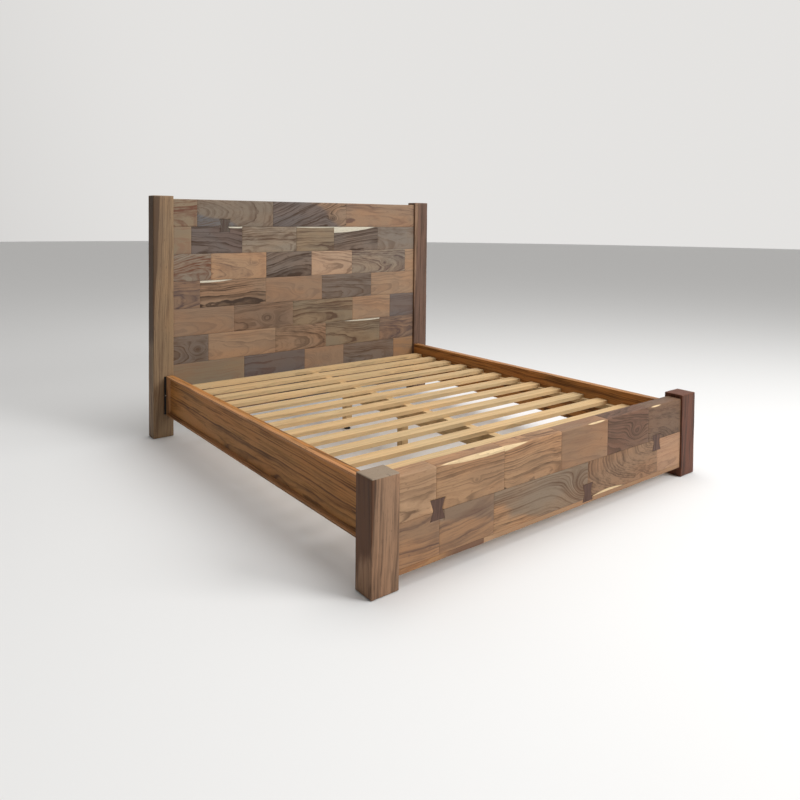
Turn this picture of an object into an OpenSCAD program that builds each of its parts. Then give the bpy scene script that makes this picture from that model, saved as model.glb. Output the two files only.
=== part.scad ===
// King-size bed frame of solid hardwood blocks: panelled headboard and
// footboard, hook-on side rails, slatted base and an adjustable centre support.
// +X is to the right seen from the foot, +Y runs from foot to head, +Z is up.
// The origin is on the floor, under the middle of the whole frame.

/* [Overall] */
// Clear length between the foot posts and the head posts
rail_gap = 2083; // [1700:1:2550]
// Width over the outer faces of the foot posts
foot_width = 2180; // [1700:1:2700]
// How far each head post stands out past the foot post in line with it
head_overhang = 12; // [0:1:20]

/* [Foot posts] */
// Width of a foot post, across the bed
foot_post_w = 128; // [116:1:160]
// Depth of a foot post, along the bed
foot_post_d = 100; // [96:1:130]
// Height of a foot post's top above the floor
foot_post_h = 436; // [430:1:560]

/* [Head posts] */
// Width of a head post, across the bed
head_post_w = 128; // [122:1:160]
// Depth of a head post, along the bed
head_post_d = 88; // [80:1:120]
// Height of a head post's top above the floor
head_post_h = 1486; // [1475:1:1800]

/* [Post details] */
// Radius of the long edges of the posts
post_round = 8; // [3:0.5:14]
// Diameter of the nylon glide under a post
glide_d = 34; // [20:1:50]
// Thickness of a glide
glide_t = 6; // [4:0.5:10]
// How far a glide stands out below its post
glide_proud = 2; // [1:0.5:3]

/* [Footboard] */
// Height of the panel's lower edge above the floor
foot_panel_low = 48; // [30:1:110]
// Height of the seam between the two rows of blocks
foot_row_seam = 242; // [200:1:290]
// Height of the thin row of strips along the panel's lower edge
foot_edge_row_h = 24; // [12:1:32]
// How far the panel's top lies below the post tops
foot_panel_drop = 19; // [5:1:40]
// Thickness of the footboard blocks
foot_panel_t = 80; // [60:1:84]
// How far the panel is set back from the fronts of its posts
foot_setback = 8; // [2:1:12]

/* [Headboard] */
// Height of the panel's lower edge above the floor
head_panel_low = 97; // [60:1:190]
// How far the panel's top lies below the post tops
head_panel_drop = 17; // [5:1:40]
// Thickness of the headboard blocks
head_panel_t = 45; // [40:1:60]
// How far the panel is set back from the fronts of its posts
head_setback = 14; // [8:1:20]

/* [Panel joinery] */
// Length of the stub tenons that enter the posts
tenon_len = 30; // [20:1:45]
// Thickness of the stub tenons
tenon_t = 20; // [14:1:24]
// Shoulder above and below each tenon
tenon_shoulder = 14; // [8:1:25]
// Diameter of the dowels in the butt joints
dowel_d = 12; // [8:1:14]
// Length of a dowel
dowel_len = 70; // [40:1:80]
// Thickness of the loose spline between two rows
spline_t = 8; // [5:1:12]
// Width of the loose spline, half of it in each row
spline_w = 24; // [14:1:30]
// Width of the glue line between two blocks of a row
glue_line = 0.2; // [0.1:0.1:0.5]

/* [Bow-tie keys] */
// Length of a key, across the seam that it ties
key_len = 80; // [50:1:100]
// Width of a key at its ends
key_end_w = 74; // [50:1:90]
// Width of a key at its waist
key_waist_w = 44; // [30:1:48]
// Depth of a key in the panel
key_depth = 14; // [6:1:18]

/* [Side rails] */
// Height of the rail's lower edge above the floor
rail_low = 139; // [100:1:160]
// Height of the rail's upper edge above the floor
rail_high = 378; // [365:1:410]
// Thickness of the rail board
rail_t = 25; // [22:1:32]
// From a foot post's outer face in to the rail board's outer face
rail_inset = 88; // [80:1:90]
// How far the edge moulding stands out from the board
moulding_out = 20; // [8:1:22]
// Width of the moulding at its outer edge
moulding_lip = 10; // [5:1:14]
// Width of the moulding where it meets the board
moulding_foot = 16; // [15:1:24]
// Gap between the ends of the mouldings and the posts
moulding_gap = 2; // [0.5:0.5:5]

/* [Rail connectors] */
// Thickness of the steel connector plates
plate_t = 3; // [2:0.5:4]
// How deep a post plate's face lies in its recess
plate_sunk = 3; // [1:0.5:4]
// Width of a post plate
post_plate_w = 58; // [40:1:60]
// Height of a post plate
post_plate_h = 232; // [200:1:236]
// Width of a rail end plate
rail_plate_w = 20; // [16:1:22]
// Height of a rail end plate
rail_plate_h = 190; // [170:1:210]
// Thickness of a hook
hook_t = 4; // [3:0.5:5]
// Height of the hook's neck, which carries the rail
hook_neck_h = 22; // [16:1:26]
// How far the hook's lip hangs down behind the post plate
hook_drop = 12; // [8:1:14]
// Thickness of the hook's lip
hook_lip_t = 4; // [3:0.5:5]
// Height between the two hooks of a plate
hook_pitch = 96; // [80:1:110]

/* [Slats] */
// Width of a slat
slat_w = 70; // [50:1:90]
// Thickness of a slat
slat_t = 20; // [16:1:25]
// Height of the slats' undersides above the floor
slat_low = 290; // [270:1:310]
// Clear space at each end of a slat
slat_gap = 3; // [1:0.5:6]
// From the post faces to the middle of the first and last slat
slat_margin = 62; // [50:1:90]
// Width of the cleat that carries the slat ends
cleat_w = 30; // [25:1:40]
// Height of the cleat
cleat_h = 32; // [25:1:45]

/* [Centre support] */
// Width of the centre beam
beam_w = 45; // [45:1:60]
// Height of the centre beam
beam_h = 90; // [70:1:110]
// Distance between two centre legs
leg_pitch = 560; // [400:1:700]
// Side of a square centre leg
leg_w = 45; // [40:1:60]
// Gap between a leg and the floor, filled by its leveller
leg_lift = 32; // [32:1:45]
// Diameter of the hanger bolt between leg and beam
leg_bolt_d = 10; // [8:1:12]
// Length of the hanger bolt, half in the leg and half in the beam
leg_bolt_len = 80; // [60:1:100]
// Thickness of the steel of the beam hangers
hanger_t = 3; // [2:0.5:4]
// Length of a beam hanger's seat
hanger_len = 60; // [40:1:90]

/* [Levellers] */
// Diameter of the threaded stem
stem_d = 8; // [6:1:10]
// Diameter of the foot pad
pad_d = 42; // [34:1:50]
// Radial clearance of the stem in its insert and its pad
running_gap = 0.05; // [0.03:0.01:0.08]
// Travel of the leveller up from where it stands, and twice that is its whole travel
leveller_travel = 10; // [6:1:10]

/* [Screws] */
// Diameter of a screw's shank
screw_d = 4; // [3.5:0.5:5]
// Diameter of a screw's countersunk head
screw_head_d = 8; // [7:0.5:9]
// Length of the connector screws
plate_screw_len = 22; // [16:1:22]
// Length of the screws through cleats and slats
wood_screw_len = 40; // [38:1:45]

/* [Hidden] */
$fn = 48;
cut = 1; // how far a cutting shape runs past the face that it opens

// Where the frame's main planes are
total_len = foot_post_d + rail_gap + head_post_d;
foot_front = -total_len / 2;
foot_back = foot_front + foot_post_d;
head_front = foot_back + rail_gap;
middle_y = (foot_back + head_front) / 2;
foot_half = foot_width / 2;
head_half = foot_half + head_overhang;
foot_clear = foot_half - foot_post_w;
head_clear = head_half - head_post_w;

// Panels
foot_panel_high = foot_post_h - foot_panel_drop;
foot_edge_seam = foot_panel_low + foot_edge_row_h;
foot_panel_front = foot_front + foot_setback;
foot_panel_back = foot_panel_front + foot_panel_t;
head_panel_high = head_post_h - head_panel_drop;
head_panel_front = head_front + head_setback;
head_row_count = 8;
head_row_h = (head_panel_high - head_panel_low) / head_row_count;
foot_tenon_y = foot_panel_front + (foot_panel_t - tenon_t) / 2;
head_tenon_back = 7;
head_tenon_y = head_panel_front + head_panel_t - head_tenon_back - tenon_t;

// Where the blocks of each row meet, as shares of the row between the posts
FOOT_TOP_SEAMS = [0.096, 0.292, 0.484, 0.663, 0.842];
FOOT_BOTTOM_SEAMS = [0.105, 0.261, 0.586, 0.886];
FOOT_EDGE_SEAMS = [0.232, 0.596];
HEAD_SEAMS = [
  [0.081, 0.359, 0.668],
  [0.061, 0.241, 0.453, 0.614, 0.817],
  [0.129, 0.333, 0.517, 0.696, 0.955],
  [0.091, 0.331, 0.562, 0.787],
  [0.212, 0.440, 0.700, 0.880],
  [0.120, 0.370, 0.580, 0.830],
  [0.250, 0.490, 0.660, 0.900],
  [0.150, 0.380, 0.640, 0.860]
];
// Keys: the share of the row at the key's middle, and its height over the seam it ties
FOOT_KEYS = [[0.100, 8], [0.586, 0], [0.882, -15]];
FOOT_KEY_EDGE = 12; // wood left under the key that ties two lower blocks end to end
HEAD_KEY = [0.177, 6];

// Side rails
rail_out = foot_half - rail_inset;
rail_in = rail_out - rail_t;
rail_mid = rail_out - rail_t / 2;
recess_depth = plate_sunk + plate_t;
rail_foot_end = foot_back - plate_sunk;
rail_head_end = head_front + plate_sunk;
rail_len = rail_head_end - rail_foot_end;
moulding_foot_end = foot_back + moulding_gap;
moulding_head_end = head_front - moulding_gap;

// Connectors, counted up from the rail's middle height
connector_z = (rail_low + rail_high) / 2;
plate_edge = 1; // from a post plate's side to the side of its recess
plate_in = rail_mid - rail_plate_w / 2 - 2;
hook_reach = plate_t + hook_lip_t + 0.3;
lip_gap = 0.3;
slot_w = hook_t + 3;
slot_h = hook_neck_h + hook_drop + 2;
pocket_depth = hook_lip_t + 1.5;
connector_screw_pitch = 78;

// Slats and cleats
slat_count = 13;
slat_pitch = (rail_gap - 2 * slat_margin) / (slat_count - 1);
slat_len = 2 * (rail_in - slat_gap);
cleat_low = slat_low - cleat_h;
cleat_end_gap = 20;
cleat_screw_count = 6;

// Centre support
beam_low = slat_low - beam_h;
leg_h = beam_low - leg_lift;
hanger_flange_w = beam_w + 2 * 36;
hanger_wall_h = beam_h - 25;
hanger_screw_x = beam_w / 2 + 22;
hanger_screw_z = [hanger_wall_h * 0.3, hanger_wall_h * 0.75];

// Levellers, from the floor up
pad_t = 6;
pad_boss_t = 4;
pad_boss_d = stem_d + 16;
stem_head_d = stem_d + 6;
stem_head_t = 3;
stem_head_low = 3;
nut_low = pad_t + pad_boss_t + 2;
nut_t = 6;
nut_af = stem_d + 5;
insert_d = stem_d + 6;
insert_len = 20;
stem_top = leg_lift + insert_len + 12;
stem_room_d = stem_d + 3;

function side_sign(side) = side == "left" ? -1 : 1;
function seam_x(share, clear) = (share * 2 - 1) * clear;
function edges(seams) = concat([0], seams, [1]);
function slat_y(i) = foot_back + slat_margin + i * slat_pitch;
function leg_y(i) = middle_y + (i - 2) * leg_pitch;
function head_row_low(row) = head_panel_high - row * head_row_h;
function foot_key_z(i) = (i == 1 ? foot_panel_low + FOOT_KEY_EDGE + key_len / 2
                                 : foot_row_seam + FOOT_KEYS[i][1]);

// A box from its lowest corner to its highest
module span(low, high) {
  translate(low) cube(high - low);
}

// A square-edged outline with its corners rounded
module rounded_rect(w, d, r) {
  translate([r, 0]) square([w - 2 * r, d]);
  translate([0, r]) square([w, d - 2 * r]);
  for (x = [r, w - r], y = [r, d - r]) translate([x, y]) circle(r);
}

// A countersunk screw, its head flush at the origin and its point at -Z
module screw(length) {
  head_t = (screw_head_d - screw_d) / 2;
  translate([0, 0, -head_t]) cylinder(h = head_t, d1 = screw_d, d2 = screw_head_d);
  translate([0, 0, -length]) cylinder(h = length - head_t, d = screw_d);
}

// ---------------------------------------------------------------- panels

// One plain board of a row, with half a glue line at each end that meets another board
module board(x0, x1, low, high, front, thick, first, last) {
  span([x0 + (first ? 0 : glue_line / 2), front, low],
       [x1 - (last ? 0 : glue_line / 2), front + thick, high]);
}

// One block of a row, with a stub tenon on each end that meets a post
module block(x0, x1, low, high, front, thick, tenon_y, first, last) {
  board(x0, x1, low, high, front, thick, first, last);
  tenon_low = low + tenon_shoulder;
  tenon_high = high - tenon_shoulder;
  if (first) span([x0 - tenon_len, tenon_y, tenon_low], [x0 + cut, tenon_y + tenon_t, tenon_high]);
  if (last) span([x1 - cut, tenon_y, tenon_low], [x1 + tenon_len, tenon_y + tenon_t, tenon_high]);
}

// The dowels across the butt joints of one row
module row_dowels(seams, clear, low, high, y) {
  for (s = seams, level = [0.27, 0.73])
    translate([seam_x(s, clear), y, low + level * (high - low)])
      rotate([0, 90, 0]) cylinder(h = dowel_len, d = dowel_d, center = true);
}

// A bow-tie key standing upright, its face at y = 0 and its back at +Y
module key_shape() {
  half = key_len / 2;
  rotate([90, 0, 0]) translate([0, 0, -key_depth]) linear_extrude(key_depth)
    polygon([[-key_end_w / 2, -half], [key_end_w / 2, -half], [key_waist_w / 2, 0],
             [key_end_w / 2, half], [-key_end_w / 2, half], [-key_waist_w / 2, 0]]);
}

module foot_key(i) {
  translate([seam_x(FOOT_KEYS[i][0], foot_clear), foot_panel_front, foot_key_z(i)]) key_shape();
}

module head_key() {
  translate([seam_x(HEAD_KEY[0], head_clear), head_panel_front, head_row_low(1) + HEAD_KEY[1]])
    key_shape();
}

module foot_spline() {
  y = foot_panel_front + foot_panel_t / 2;
  span([-foot_clear, y - spline_t / 2, foot_row_seam - spline_w / 2],
       [foot_clear, y + spline_t / 2, foot_row_seam + spline_w / 2]);
}

head_spline_y = head_panel_front + head_panel_t / 2 + 2;
module head_splines() {
  for (row = [1 : head_row_count - 1])
    span([-head_clear, head_spline_y - spline_t / 2, head_row_low(row) - spline_w / 2],
         [head_clear, head_spline_y + spline_t / 2, head_row_low(row) + spline_w / 2]);
}

module foot_dowels() {
  y = foot_panel_front + foot_panel_t / 2;
  row_dowels(FOOT_TOP_SEAMS, foot_clear, foot_row_seam, foot_panel_high, y);
  row_dowels(FOOT_BOTTOM_SEAMS, foot_clear, foot_edge_seam, foot_row_seam, y);
}

module head_row_dowels(row) {
  row_dowels(HEAD_SEAMS[row - 1], head_clear, head_row_low(row), head_row_low(row - 1),
             head_spline_y);
}

// Block number i of a footboard row, counted from the left
module foot_block(seams, i, low, high) {
  ends = edges(seams);
  difference() {
    block(seam_x(ends[i - 1], foot_clear), seam_x(ends[i], foot_clear), low, high,
          foot_panel_front, foot_panel_t, foot_tenon_y, i == 1, i == len(ends) - 1);
    for (k = [0 : len(FOOT_KEYS) - 1]) foot_key(k);
    foot_spline();
    foot_dowels();
    hanger_screws(foot_panel_back, -1);
  }
}

module top_block(i, tone) {
  color(tone) foot_block(FOOT_TOP_SEAMS, i, foot_row_seam, foot_panel_high);
}

module bottom_block(i, tone) {
  color(tone) foot_block(FOOT_BOTTOM_SEAMS, i, foot_edge_seam, foot_row_seam);
}

// One row of headboard blocks, counted from the top
module head_row(row) {
  ends = edges(HEAD_SEAMS[row - 1]);
  count = len(ends) - 1;
  for (i = [1 : count]) difference() {
    block(seam_x(ends[i - 1], head_clear), seam_x(ends[i], head_clear),
          head_row_low(row), head_row_low(row - 1), head_panel_front, head_panel_t,
          head_tenon_y, i == 1, i == count);
    if (row <= 2) head_key();
    head_splines();
    head_row_dowels(row);
    hanger_screws(head_panel_front, 1);
  }
}

module headboard_row_1() { color("#a08a72") head_row(1); }
module headboard_row_2() { color("#8d7862") head_row(2); }
module headboard_row_3() { color("#ad9068") head_row(3); }
module headboard_row_4() { color("#8f7a64") head_row(4); }
module headboard_row_5() { color("#a88f72") head_row(5); }
module headboard_row_6() { color("#8a7460") head_row(6); }
module headboard_row_7() { color("#b0946c") head_row(7); }
module headboard_row_8() { color("#957e66") head_row(8); }
module headboard_bow_tie() { color("#6f665f") head_key(); }

module footboard_top_block_1() { top_block(1, "#b08c68"); }
module footboard_top_block_2() { top_block(2, "#a5835f"); }
module footboard_top_block_3() { top_block(3, "#a98661"); }
module footboard_top_block_4() { top_block(4, "#a78560"); }
module footboard_top_block_5() { top_block(5, "#7d6250"); }
module footboard_top_block_6() { top_block(6, "#9a7856"); }
module footboard_bottom_block_1() { bottom_block(1, "#8b7058"); }
module footboard_bottom_block_2() { bottom_block(2, "#8f745b"); }
module footboard_bottom_block_3() { bottom_block(3, "#a48a6c"); }
module footboard_bottom_block_4() { bottom_block(4, "#9e8262"); }
module footboard_bottom_block_5() { bottom_block(5, "#b8966c"); }
module footboard_edge_row() {
  ends = edges(FOOT_EDGE_SEAMS);
  count = len(ends) - 1;
  color("#9a7a5e") for (i = [1 : count]) difference() {
    board(seam_x(ends[i - 1], foot_clear), seam_x(ends[i], foot_clear), foot_panel_low,
          foot_edge_seam, foot_panel_front, foot_panel_t, i == 1, i == count);
    foot_key(1);
  }
}
module footboard_bow_tie_1() { color("#665049") foot_key(0); }
module footboard_bow_tie_2() { color("#665049") foot_key(1); }
module footboard_bow_tie_3() { color("#665049") foot_key(2); }

module row_splines() {
  color("#c9ab7d") {
    foot_spline();
    head_splines();
  }
}

module panel_dowels() {
  color("#d2b68a") {
    foot_dowels();
    for (row = [1 : head_row_count]) head_row_dowels(row);
  }
}

// ---------------------------------------------------------------- posts

// The seat of one hook-on connector, with the rail to the +Y side of a foot post.
// Its origin is on the post's face, at the connector's mid height.
module connector_recess() {
  inner = plate_in - rail_mid;
  span([inner - plate_edge, -recess_depth, -post_plate_h / 2 - plate_edge],
       [inner + post_plate_w + plate_edge, cut, post_plate_h / 2 + plate_edge]);
  rail_half = (rail_high - rail_low) / 2;
  span([-rail_t / 2 - cut, -plate_sunk, -rail_half - cut],
       [inner + post_plate_w + plate_edge, cut, rail_half + hook_drop + 2]);
  for (z = hook_levels())
    span([-slot_w / 2, -recess_depth - pocket_depth, z - hook_drop - 2],
         [slot_w / 2, -recess_depth + cut, z + slot_h + 1]);
  post_plate_screw_places() screw(plate_screw_len);
}

// The heights of the undersides of the hook necks
function hook_levels() = [for (s = [-1, 1]) s * hook_pitch / 2 - hook_neck_h / 2];

module post_plate() {
  inner = plate_in - rail_mid;
  difference() {
    span([inner, -recess_depth, -post_plate_h / 2],
         [inner + post_plate_w, -plate_sunk, post_plate_h / 2]);
    for (z = hook_levels())
      span([-slot_w / 2, -recess_depth - cut, z], [slot_w / 2, cut, z + slot_h]);
    post_plate_screw_places() screw(plate_screw_len);
  }
}

module post_plate_screw_places() {
  for (z = [-connector_screw_pitch, connector_screw_pitch] * 1.2)
    translate([0, -plate_sunk, z]) rotate([-90, 0, 0]) children();
  translate([post_plate_w / 2 + 6, -plate_sunk, 0]) rotate([-90, 0, 0]) children();
}

module rail_plate() {
  difference() {
    span([-rail_plate_w / 2, -plate_sunk, -rail_plate_h / 2],
         [rail_plate_w / 2, -plate_sunk + plate_t, rail_plate_h / 2]);
    rail_plate_screw_places() screw(plate_screw_len);
  }
  lip_front = -recess_depth - lip_gap;
  for (z = hook_levels()) {
    span([-hook_t / 2, lip_front - hook_lip_t, z],
         [hook_t / 2, -plate_sunk + cut, z + hook_neck_h]);
    span([-hook_t / 2, lip_front - hook_lip_t, z - hook_drop],
         [hook_t / 2, lip_front, z + hook_neck_h]);
  }
}

module rail_plate_screw_places() {
  for (z = [-connector_screw_pitch, 0, connector_screw_pitch])
    translate([0, -plate_sunk, z]) rotate([90, 0, 0]) children();
}

// Puts a connector, drawn at a right-hand foot post, at all four corners
module at_connectors(sides = [-1, 1], ends = [0, 1]) {
  for (s = sides, e = ends)
    mirror([s < 0 ? 1 : 0, 0, 0])
      translate([rail_mid, e == 0 ? foot_back : head_front, connector_z])
        mirror([0, e, 0]) children();
}

module glides_of(half, post_w, y_mid) {
  for (s = [-1, 1]) translate([s * (half - post_w / 2), y_mid, 0])
    cylinder(h = glide_t, d = glide_d);
}

module post_glides() {
  color("#2b2b2b") {
    glides_of(foot_half, foot_post_w, foot_front + foot_post_d / 2);
    glides_of(head_half, head_post_w, head_front + head_post_d / 2);
  }
}

// A post drawn on the right: body, connector seat, glide socket and panel mortises
module post(half, w, d, h, front, end) {
  difference() {
    translate([half - w, front, glide_proud])
      linear_extrude(h - glide_proud) rounded_rect(w, d, post_round);
    at_connectors([1], [end]) connector_recess();
    translate([half - w / 2, front + d / 2, 0]) cylinder(h = glide_t, d = glide_d);
    children();
  }
}

// A mortise for the tenon of a panel row
module mortise(clear, tenon_y, low, high) {
  span([clear - cut, tenon_y, low + tenon_shoulder],
       [clear + tenon_len, tenon_y + tenon_t, high - tenon_shoulder]);
}

module foot_post() {
  post(foot_half, foot_post_w, foot_post_d, foot_post_h, foot_front, 0) {
    mortise(foot_clear, foot_tenon_y, foot_edge_seam, foot_row_seam);
    mortise(foot_clear, foot_tenon_y, foot_row_seam, foot_panel_high);
  }
}

module head_post() {
  post(head_half, head_post_w, head_post_d, head_post_h, head_front, 1) {
    for (row = [1 : head_row_count])
      mortise(head_clear, head_tenon_y, head_row_low(row), head_row_low(row - 1));
  }
}

module foot_post_left() { color("#7a5c49") mirror([1, 0, 0]) foot_post(); }
module foot_post_right() { color("#5a3e35") foot_post(); }
module head_post_left() { color("#75614b") mirror([1, 0, 0]) head_post(); }
module head_post_right() { color("#5c4a46") head_post(); }

// ---------------------------------------------------------------- rails

// The right-hand rail board, with the seats of its end plates
module rail_board() {
  difference() {
    span([rail_in, rail_foot_end, rail_low], [rail_out, rail_head_end, rail_high]);
    at_connectors([1]) {
      span([-rail_plate_w / 2, -plate_sunk - cut, -rail_plate_h / 2],
           [rail_plate_w / 2, -plate_sunk + plate_t, rail_plate_h / 2]);
      rail_plate_screw_places() screw(plate_screw_len);
    }
    cleat_screws();
  }
}

// A length of edge moulding along +Y from the origin. Its back is at x = 0, its
// straight edge at z = 0, and both ends are cut to mitres.
module moulding_bar(length) {
  far = moulding_foot + cut;
  difference() {
    rotate([90, 0, 0]) translate([0, 0, -length]) linear_extrude(length)
      polygon([[0, 0], [moulding_out, 0], [moulding_out, moulding_lip], [0, moulding_foot]]);
    for (end = [0, 1]) translate([0, end * length, 0]) mirror([0, end, 0])
      rotate([0, -90, 0]) translate([0, 0, -moulding_out - cut])
        linear_extrude(moulding_out + 2 * cut)
          polygon([[0, 0], [far, far], [far, -cut], [0, -cut]]);
  }
}

moulding_len = moulding_head_end - moulding_foot_end;
module lower_moulding() {
  translate([rail_out, moulding_foot_end, rail_low]) moulding_bar(moulding_len);
}

module upper_moulding() {
  translate([rail_out, moulding_foot_end, rail_high]) mirror([0, 0, 1])
    moulding_bar(moulding_len);
}

// The two upright lengths that close the moulding frame
module end_mouldings() {
  height = rail_high - rail_low;
  translate([rail_out, moulding_foot_end, rail_low]) mirror([0, 1, -1]) moulding_bar(height);
  translate([rail_out, moulding_head_end, rail_low]) mirror([0, 1, 0]) mirror([0, 1, -1])
    moulding_bar(height);
}

module side_rail_left() { color("#5d4630") mirror([1, 0, 0]) rail_board(); }
module side_rail_right() { color("#5d4630") rail_board(); }
module rail_lower_moulding_left() { color("#6e5236") mirror([1, 0, 0]) lower_moulding(); }
module rail_lower_moulding_right() { color("#6e5236") lower_moulding(); }
module rail_upper_moulding_left() { color("#6e5236") mirror([1, 0, 0]) upper_moulding(); }
module rail_upper_moulding_right() { color("#6e5236") upper_moulding(); }
module rail_end_mouldings_left() { color("#6e5236") mirror([1, 0, 0]) end_mouldings(); }
module rail_end_mouldings_right() { color("#6e5236") end_mouldings(); }

module rail_hook_plates() { color("#8b8d8f") at_connectors() rail_plate(); }
module post_plates() { color("#26231f") at_connectors() post_plate(); }

module connector_screws() {
  color("#8b8d8f") at_connectors() {
    post_plate_screw_places() screw(plate_screw_len);
    rail_plate_screw_places() screw(plate_screw_len);
  }
}

// ---------------------------------------------------------------- slatted base

cleat_foot_end = foot_back + cleat_end_gap;
cleat_head_end = head_front - cleat_end_gap;

// Screws from the cleat's inner face into the right-hand rail board, each midway
// between two slats
module cleat_screws() {
  for (i = [0 : cleat_screw_count - 1])
    translate([rail_in - cleat_w, slat_y(2 * i + 0.5), cleat_low + cleat_h / 2])
      rotate([0, -90, 0]) screw(wood_screw_len);
}

// Screws down through the slat ends into the right-hand cleat
module slat_screws() {
  for (i = [0 : slat_count - 1])
    translate([rail_in - cleat_w / 2, slat_y(i), slat_low + slat_t]) screw(wood_screw_len);
}

module cleat() {
  difference() {
    span([rail_in - cleat_w, cleat_foot_end, cleat_low], [rail_in, cleat_head_end, slat_low]);
    cleat_screws();
    slat_screws();
  }
}

module slat_cleat_left() { color("#c8a878") mirror([1, 0, 0]) cleat(); }
module slat_cleat_right() { color("#c8a878") cleat(); }

module slats() {
  color("#d3b587") difference() {
    for (i = [0 : slat_count - 1])
      span([-slat_len / 2, slat_y(i) - slat_w / 2, slat_low],
           [slat_len / 2, slat_y(i) + slat_w / 2, slat_low + slat_t]);
    slat_screws();
    mirror([1, 0, 0]) slat_screws();
  }
}

module wood_screws() {
  color("#b9a36a") for (side = [0, 1]) mirror([side, 0, 0]) {
    cleat_screws();
    slat_screws();
  }
}

// ---------------------------------------------------------------- centre support

// Screws of a beam hanger into a panel whose face is at y, driven towards dir
module hanger_screws(y, dir) {
  for (x = [-hanger_screw_x, hanger_screw_x], z = hanger_screw_z)
    translate([x, y - dir * hanger_t, beam_low + z]) rotate([dir * 90, 0, 0])
      screw(plate_screw_len);
}

// A steel hanger on a panel whose face is at y; the beam leaves it against dir
module hanger(y, dir) {
  wall_x = beam_w / 2 + hanger_t;
  seat = beam_low - hanger_t;
  along = -dir * hanger_len;
  difference() {
    union() {
      span([-hanger_flange_w / 2, min(y, y - dir * hanger_t), seat],
           [hanger_flange_w / 2, max(y, y - dir * hanger_t), beam_low + hanger_wall_h]);
      span([-wall_x, min(y, y + along), seat],
           [wall_x, max(y, y + along), beam_low + hanger_wall_h]);
    }
    span([-beam_w / 2, min(y - dir * hanger_t, y + along - dir * cut), beam_low],
         [beam_w / 2, max(y - dir * hanger_t, y + along - dir * cut),
          beam_low + hanger_wall_h + cut]);
    hanger_screws(y, dir);
  }
}

module beam_hangers() {
  color("#9a9c9e") {
    hanger(foot_panel_back, -1);
    hanger(head_panel_front, 1);
  }
}

module beam_hanger_screws() {
  color("#8b8d8f") {
    hanger_screws(foot_panel_back, -1);
    hanger_screws(head_panel_front, 1);
  }
}

module leg_bolts() {
  for (i = [1 : 3]) translate([0, leg_y(i), beam_low])
    cylinder(h = leg_bolt_len, d = leg_bolt_d, center = true);
}

module centre_beam() {
  color("#c9a97b") difference() {
    span([-beam_w / 2, foot_panel_back + hanger_t, beam_low],
         [beam_w / 2, head_panel_front - hanger_t, slat_low]);
    leg_bolts();
  }
}

module leg(i) {
  color("#c2a173") difference() {
    translate([-leg_w / 2, leg_y(i) - leg_w / 2, leg_lift]) cube([leg_w, leg_w, leg_h]);
    leg_bolts();
    translate([0, leg_y(i), leg_lift - cut]) cylinder(h = insert_len + cut, d = insert_d);
    translate([0, leg_y(i), leg_lift])
      cylinder(h = stem_top - leg_lift + leveller_travel + 2, d = stem_room_d);
  }
}

module centre_leg_1() { leg(1); }
module centre_leg_2() { leg(2); }
module centre_leg_3() { leg(3); }
module centre_leg_bolts() { color("#9a9c9e") leg_bolts(); }

module leveller_inserts() {
  color("#b08d4a") for (i = [1 : 3]) translate([0, leg_y(i), leg_lift]) difference() {
    cylinder(h = insert_len, d = insert_d);
    translate([0, 0, -cut]) cylinder(h = insert_len + 2 * cut, d = stem_d + 2 * running_gap);
  }
}

// The pad holds the head of the stem in a turned cavity, so the stem can turn in it
module leveller_pad(i) {
  color("#1f1f20") translate([0, leg_y(i), 0]) difference() {
    union() {
      cylinder(h = pad_t, d = pad_d);
      cylinder(h = pad_t + pad_boss_t, d = pad_boss_d);
    }
    translate([0, 0, stem_head_low - running_gap])
      cylinder(h = stem_head_t + 2 * running_gap, d = stem_head_d + 2 * running_gap);
    translate([0, 0, stem_head_low])
      cylinder(h = pad_t + pad_boss_t, d = stem_d + 2 * running_gap);
  }
}

module leveller_pad_1() { leveller_pad(1); }
module leveller_pad_2() { leveller_pad(2); }
module leveller_pad_3() { leveller_pad(3); }

module leveller_stem(i) {
  color("#a9abad") translate([0, leg_y(i), 0]) {
    translate([0, 0, stem_head_low]) cylinder(h = stem_head_t, d = stem_head_d);
    translate([0, 0, stem_head_low]) cylinder(h = stem_top - stem_head_low, d = stem_d);
    translate([0, 0, nut_low]) cylinder(h = nut_t, d = nut_af / cos(30), $fn = 6);
  }
}

module leveller_stem_1() { leveller_stem(1); }
module leveller_stem_2() { leveller_stem(2); }
module leveller_stem_3() { leveller_stem(3); }

head_post_left();
head_post_right();
headboard_row_1();
headboard_row_2();
headboard_row_3();
headboard_row_4();
headboard_row_5();
headboard_row_6();
headboard_row_7();
headboard_row_8();
headboard_bow_tie();
foot_post_left();
foot_post_right();
footboard_top_block_1();
footboard_top_block_2();
footboard_top_block_3();
footboard_top_block_4();
footboard_top_block_5();
footboard_top_block_6();
footboard_bottom_block_1();
footboard_bottom_block_2();
footboard_bottom_block_3();
footboard_bottom_block_4();
footboard_bottom_block_5();
footboard_edge_row();
footboard_bow_tie_1();
footboard_bow_tie_2();
footboard_bow_tie_3();
row_splines();
panel_dowels();
post_glides();
side_rail_left();
side_rail_right();
rail_lower_moulding_left();
rail_lower_moulding_right();
rail_upper_moulding_left();
rail_upper_moulding_right();
rail_end_mouldings_left();
rail_end_mouldings_right();
rail_hook_plates();
post_plates();
connector_screws();
slat_cleat_left();
slat_cleat_right();
slats();
wood_screws();
centre_beam();
beam_hangers();
beam_hanger_screws();
centre_leg_1();
centre_leg_2();
centre_leg_3();
centre_leg_bolts();
leveller_inserts();
leveller_pad_1();
leveller_pad_2();
leveller_pad_3();
leveller_stem_1();
leveller_stem_2();
leveller_stem_3();
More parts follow.
